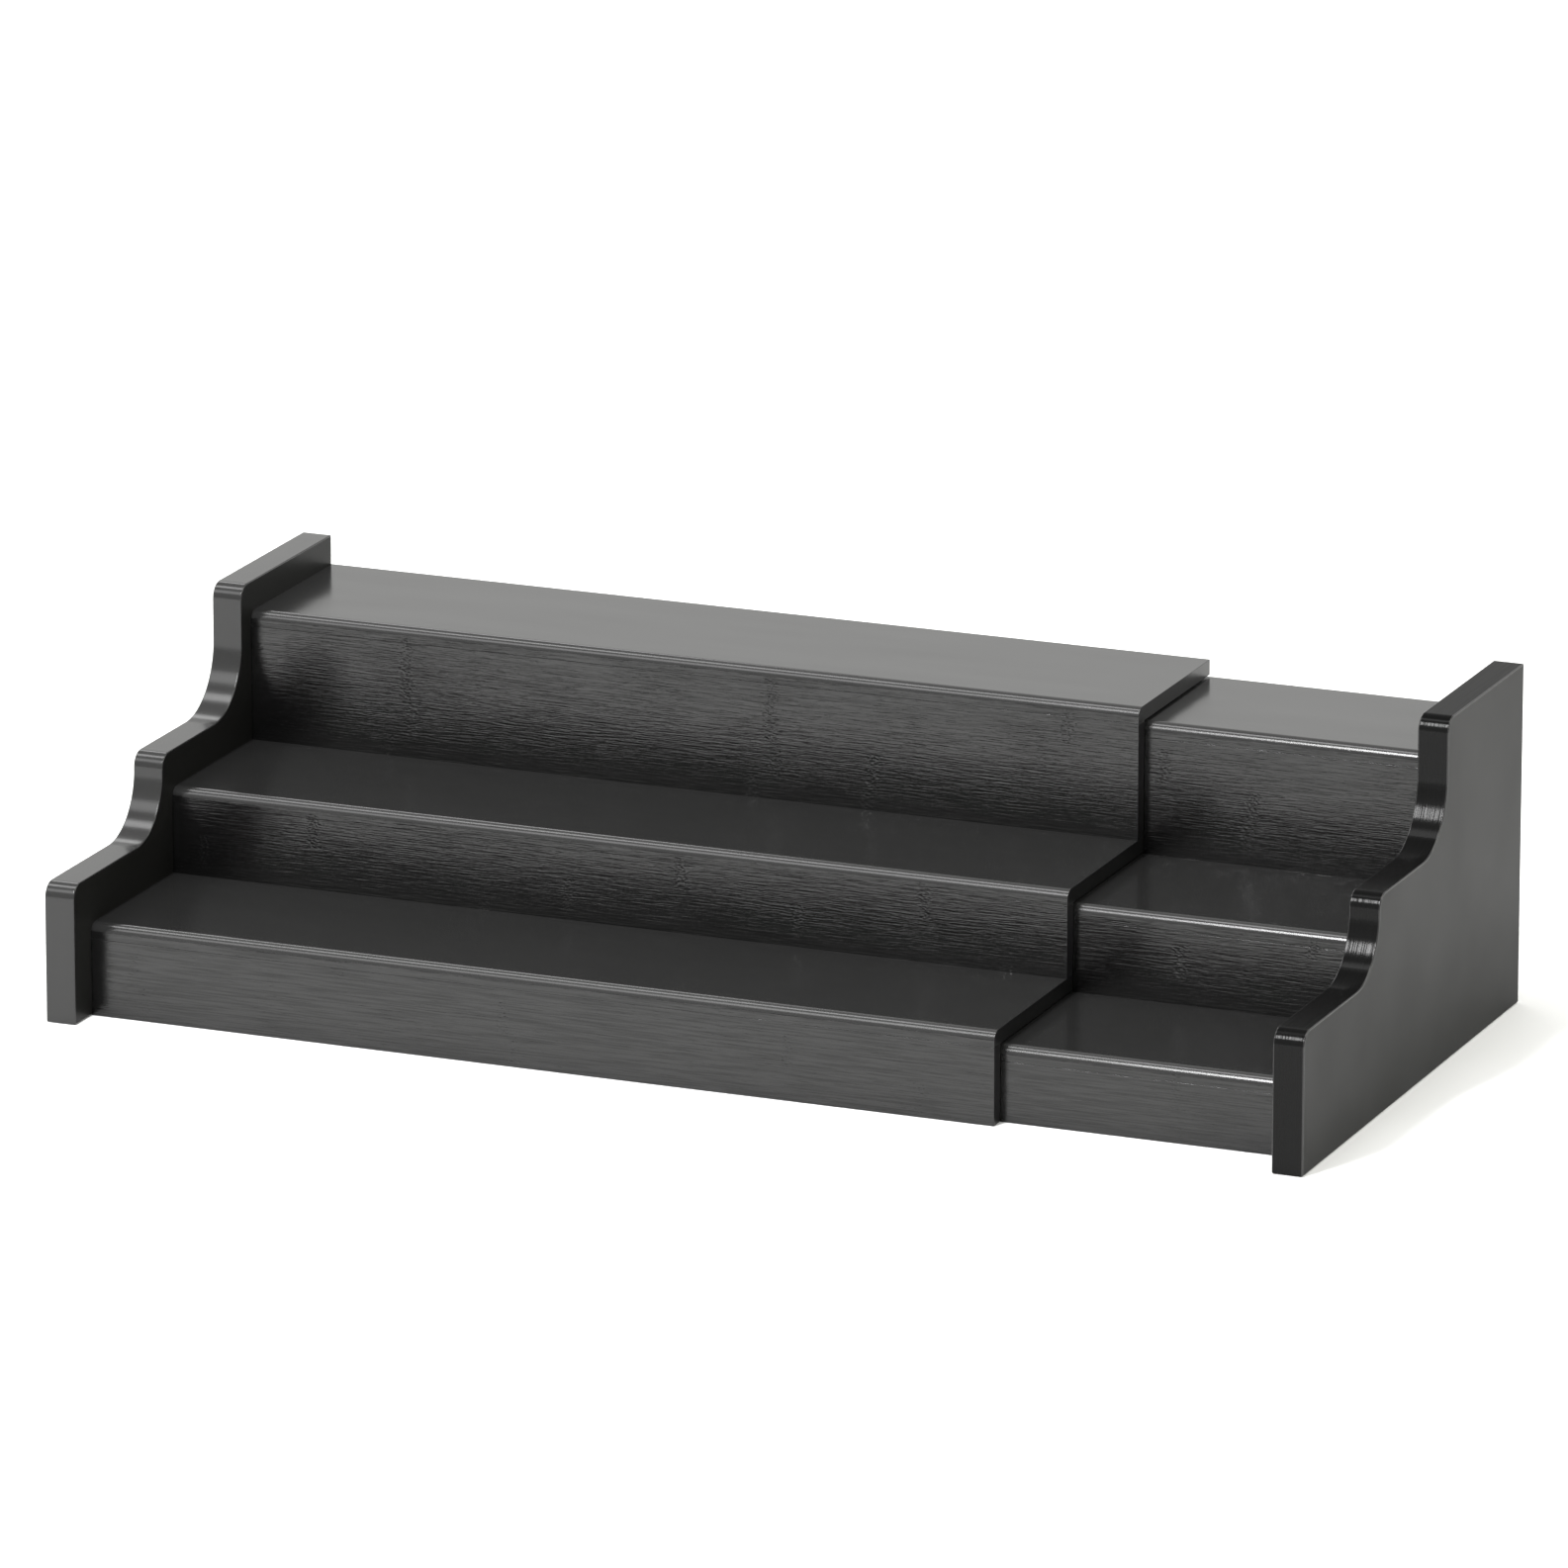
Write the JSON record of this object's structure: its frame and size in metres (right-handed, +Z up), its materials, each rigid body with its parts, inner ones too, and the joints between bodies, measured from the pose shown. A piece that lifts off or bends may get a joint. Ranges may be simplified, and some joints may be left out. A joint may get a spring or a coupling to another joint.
{
  "type": "spice rack",
  "caption": "Stepped spice rack of black lacquered bamboo whose right half slides out from under the left half to make it wider.",
  "frame": {"origin": "on the table, under the middle of the rack's box at rest", "axes": "+X to the right along the rack, the way the inner half slides out; +Y to the back; +Z up"},
  "size_m": [0.5, 0.235, 0.132],
  "materials": {
    "lacquered_bamboo_panel": "semi-gloss black lacquer",
    "lacquered_bamboo_tread": "gloss black lacquer",
    "lacquered_bamboo_riser": "gloss black lacquer over open grain",
    "lacquered_bamboo_underside": "thin black lacquer",
    "zinc_plated_steel": "bright zinc plate"
  },
  "bodies": {
    "outer_half": {"left_side_panel": "lacquered_bamboo_panel", "outer_lower_riser": "lacquered_bamboo_riser", "outer_lower_tread": "lacquered_bamboo_tread", "outer_middle_riser": "lacquered_bamboo_riser", "outer_middle_tread": "lacquered_bamboo_tread", "outer_upper_riser": "lacquered_bamboo_riser", "outer_upper_tread": "lacquered_bamboo_tread", "left_lower_cleat": "lacquered_bamboo_underside", "left_middle_cleat": "lacquered_bamboo_underside", "left_upper_cleat": "lacquered_bamboo_underside", "left_cleat_screws": "zinc_plated_steel"},
    "inner_half": {"right_side_panel": "lacquered_bamboo_panel", "inner_lower_riser": "lacquered_bamboo_riser", "inner_lower_tread": "lacquered_bamboo_tread", "inner_middle_riser": "lacquered_bamboo_riser", "inner_middle_tread": "lacquered_bamboo_tread", "inner_upper_riser": "lacquered_bamboo_riser", "inner_upper_tread": "lacquered_bamboo_tread", "right_lower_cleat": "lacquered_bamboo_underside", "right_middle_cleat": "lacquered_bamboo_underside", "right_upper_cleat": "lacquered_bamboo_underside", "right_cleat_screws": "zinc_plated_steel", "inner_end_support": "lacquered_bamboo_underside"}
  },
  "joints": [
    {"name": "inner_half_slide", "type": "slide", "parent": "outer_half", "child": "inner_half", "axis": [1, 0, 0], "range_m": [-0.1125, 0.19]}
  ]
}
